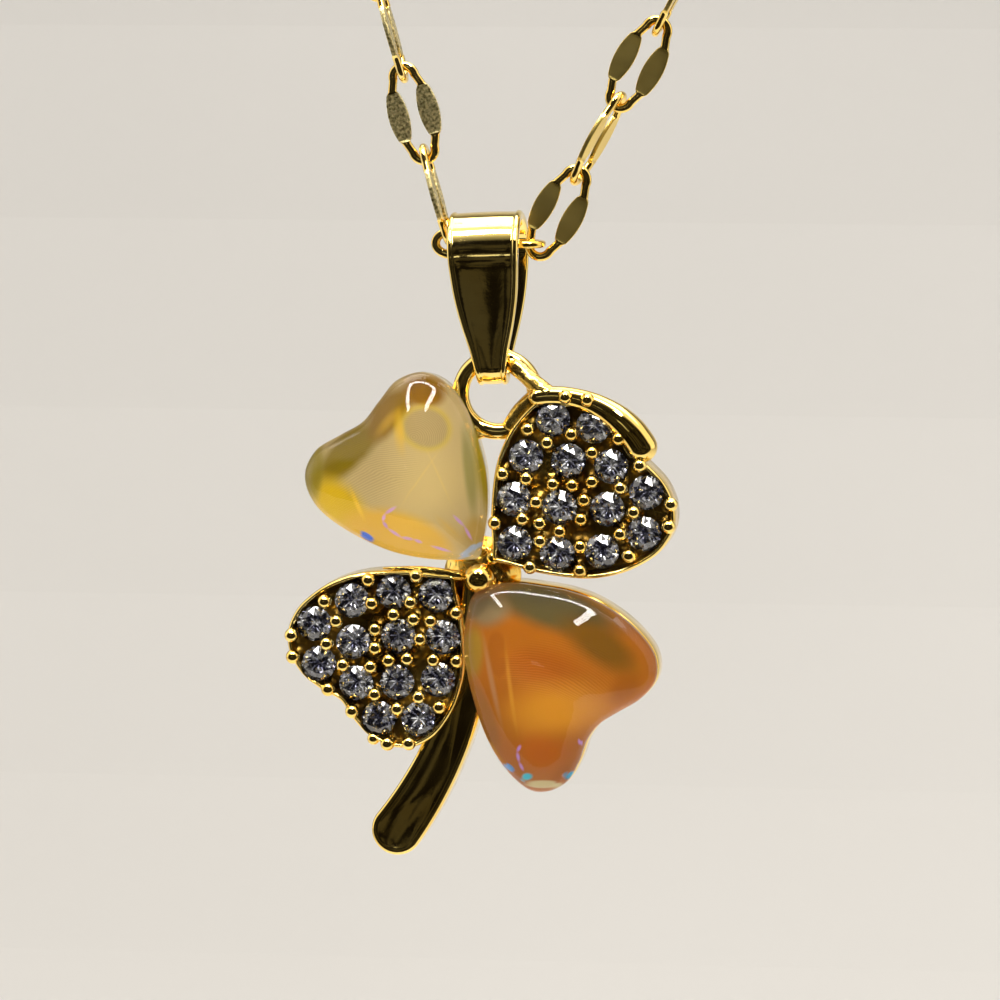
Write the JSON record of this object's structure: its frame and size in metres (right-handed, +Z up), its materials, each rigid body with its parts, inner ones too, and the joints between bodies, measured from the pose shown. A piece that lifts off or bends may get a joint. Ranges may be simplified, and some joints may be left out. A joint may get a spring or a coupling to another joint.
{
  "type": "four leaf clover pendant necklace",
  "caption": "Flat four leaf clover pendant with two glass hearts and two stone-set leaves, on a tapered bail and a flat-link chain.",
  "frame": {"origin": "top of the chain loop, where it lies at the back of the neck", "axes": "+Z up, the clover's front faces -Y and +X is to the viewer's right"},
  "size_m": [0.0946, 0.0042, 0.1894],
  "materials": {
    "gold_plate": "polished gold plate",
    "gold_bail": "polished gold plate with bright edges",
    "gold_chain": "polished gold plate",
    "pale_glass": "polished, opalescent cream and yellow",
    "orange_glass": "polished, deep amber and orange",
    "clear_stone": "cut and polished"
  },
  "bodies": {
    "necklace": {"chain": "gold_chain", "clasp": "gold_chain"},
    "bail": {"bail": "gold_bail"},
    "clover": {"clover_frame": "gold_plate", "heart_stone_upper": "pale_glass", "heart_stone_lower": "orange_glass", "cut_stone_1": "clear_stone", "cut_stone_2": "clear_stone", "cut_stone_3": "clear_stone", "cut_stone_4": "clear_stone", "cut_stone_5": "clear_stone", "cut_stone_6": "clear_stone", "cut_stone_7": "clear_stone", "cut_stone_8": "clear_stone", "cut_stone_9": "clear_stone", "cut_stone_10": "clear_stone", "cut_stone_11": "clear_stone", "cut_stone_12": "clear_stone", "cut_stone_13": "clear_stone", "cut_stone_14": "clear_stone", "cut_stone_15": "clear_stone", "cut_stone_16": "clear_stone", "cut_stone_17": "clear_stone", "cut_stone_18": "clear_stone", "cut_stone_19": "clear_stone", "cut_stone_20": "clear_stone", "cut_stone_21": "clear_stone", "cut_stone_22": "clear_stone", "cut_stone_23": "clear_stone", "cut_stone_24": "clear_stone", "cut_stone_25": "clear_stone", "cut_stone_26": "clear_stone"}
  },
  "joints": [
    {"name": "bail_swing", "type": "hinge", "parent": "necklace", "child": "bail", "pos_m": [-0.0134, 0, -0.16525], "axis": [1, 0, 0], "range_deg": [-60, 60]},
    {"name": "clover_swing", "type": "hinge", "parent": "bail", "child": "clover", "pos_m": [-0.0134, 0, -0.1691], "axis": [1, 0, 0], "range_deg": [-40, 40]}
  ]
}
